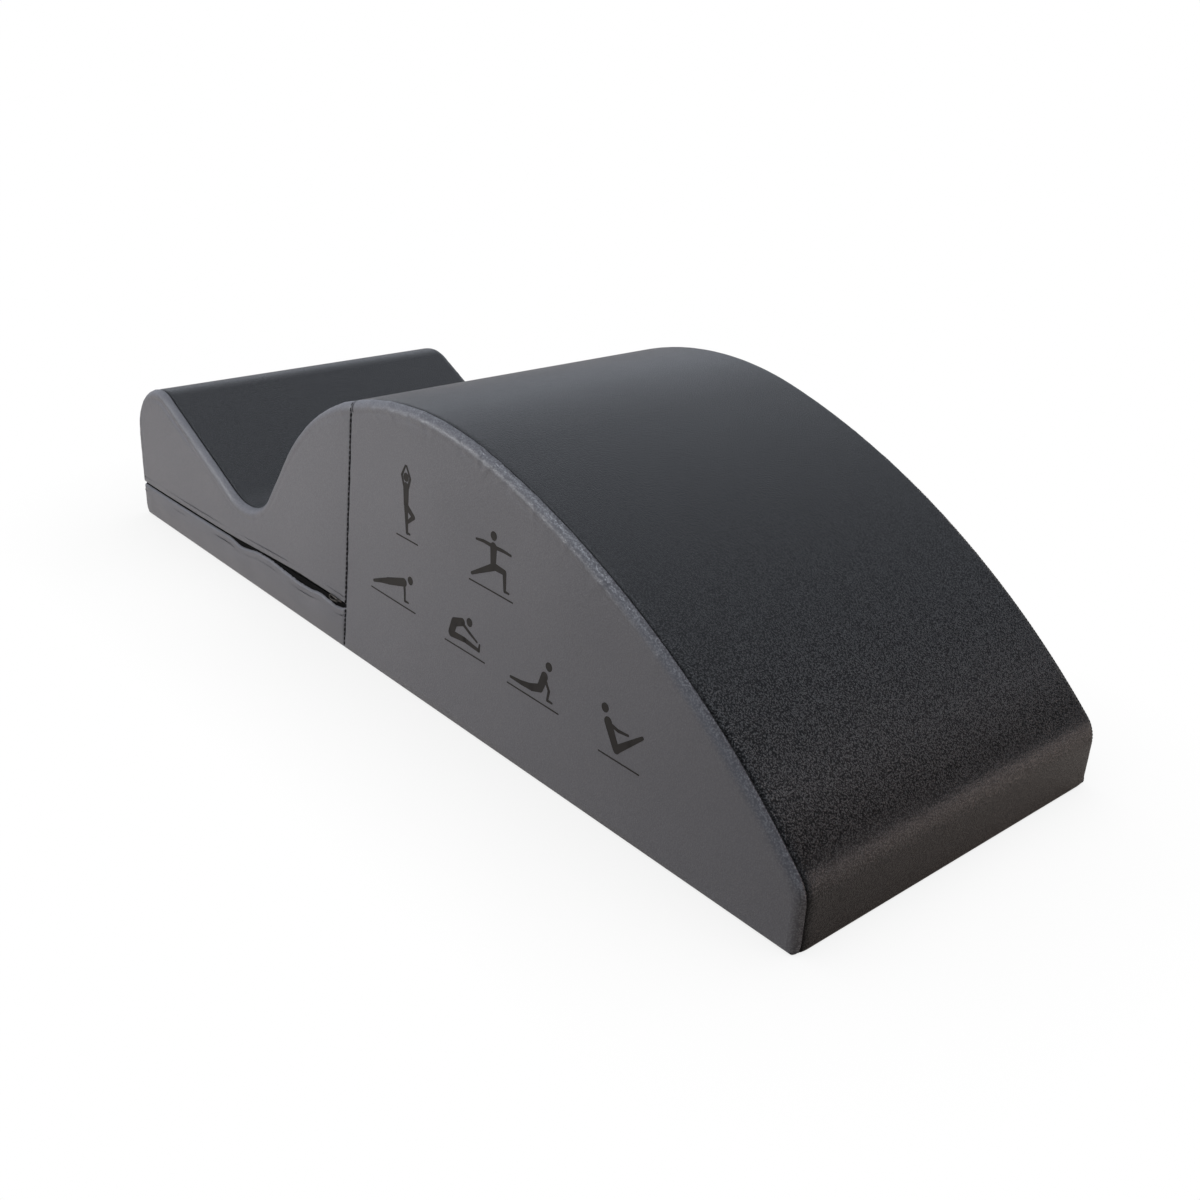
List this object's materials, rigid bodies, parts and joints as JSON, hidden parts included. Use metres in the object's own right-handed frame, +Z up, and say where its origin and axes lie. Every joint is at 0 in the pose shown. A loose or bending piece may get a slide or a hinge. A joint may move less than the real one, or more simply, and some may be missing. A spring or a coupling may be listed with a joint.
{
  "type": "pilates spine corrector",
  "caption": "Long padded arc for back stretches, with a lower neck hump and a neck valley, in a sewn cover that a zip along the lower edge closes.",
  "frame": {"origin": "on the ground under the middle of the body", "axes": "+X along the body from the rear end, with the neck hump, to the foot end; +Y across the body away from the side that carries the zip slider; +Z up"},
  "size_m": [0.95, 0.3528, 0.25],
  "materials": {
    "core_foam": "firm closed-cell foam",
    "topper_foam": "softer closed-cell foam",
    "black_leather": "fine-grained coated leather cloth with a soft sheen",
    "grey_leather": "fine-grained coated leather cloth with a soft sheen",
    "base_cloth": "coarse matt grip cloth",
    "thread": "twisted polyester thread",
    "zip_tape": "woven tape",
    "zip_coil": "moulded coil",
    "zip_metal": "plated metal"
  },
  "bodies": {
    "padded_body": {"neck_foam_core": "core_foam", "arc_foam_core": "core_foam", "neck_foam_topper": "topper_foam", "arc_foam_topper": "topper_foam", "top_panel": "black_leather", "rear_lower_strip": "black_leather", "base_panel": "base_cloth", "near_arc_side": "grey_leather", "near_neck_side": "grey_leather", "near_lower_strip": "grey_leather", "far_arc_side": "grey_leather", "far_neck_side": "grey_leather", "far_lower_strip": "grey_leather", "near_top_seam_thread": "thread", "near_base_seam_thread": "thread", "near_upright_seam_thread": "thread", "far_top_seam_thread": "thread", "far_base_seam_thread": "thread", "far_upright_seam_thread": "thread", "rear_base_seam_thread": "thread", "foot_base_seam_thread": "thread", "zip_upper_topstitch": "thread", "zip_lower_topstitch": "thread", "zip_upper_tape": "zip_tape", "zip_lower_tape": "zip_tape", "zip_upper_coil": "zip_coil", "zip_lower_coil": "zip_coil", "near_zip_stop": "zip_metal", "far_zip_stop": "zip_metal"},
    "zip_slider_body": {"zip_slider": "zip_metal"},
    "zip_pull_body": {"zip_pull": "zip_metal"}
  },
  "joints": [
    {"name": "zip_slider_slide", "type": "slide", "parent": "padded_body", "child": "zip_slider_body", "axis": [-0.9998, 0, -0.0223], "range_m": [0, 0.37]},
    {"name": "zip_pull_hinge", "type": "hinge", "parent": "zip_slider_body", "child": "zip_pull_body", "pos_m": [-0.0736, -0.1758, 0.04453], "axis": [-0.0223, 0, 0.9998], "range_deg": [0, 175]}
  ]
}
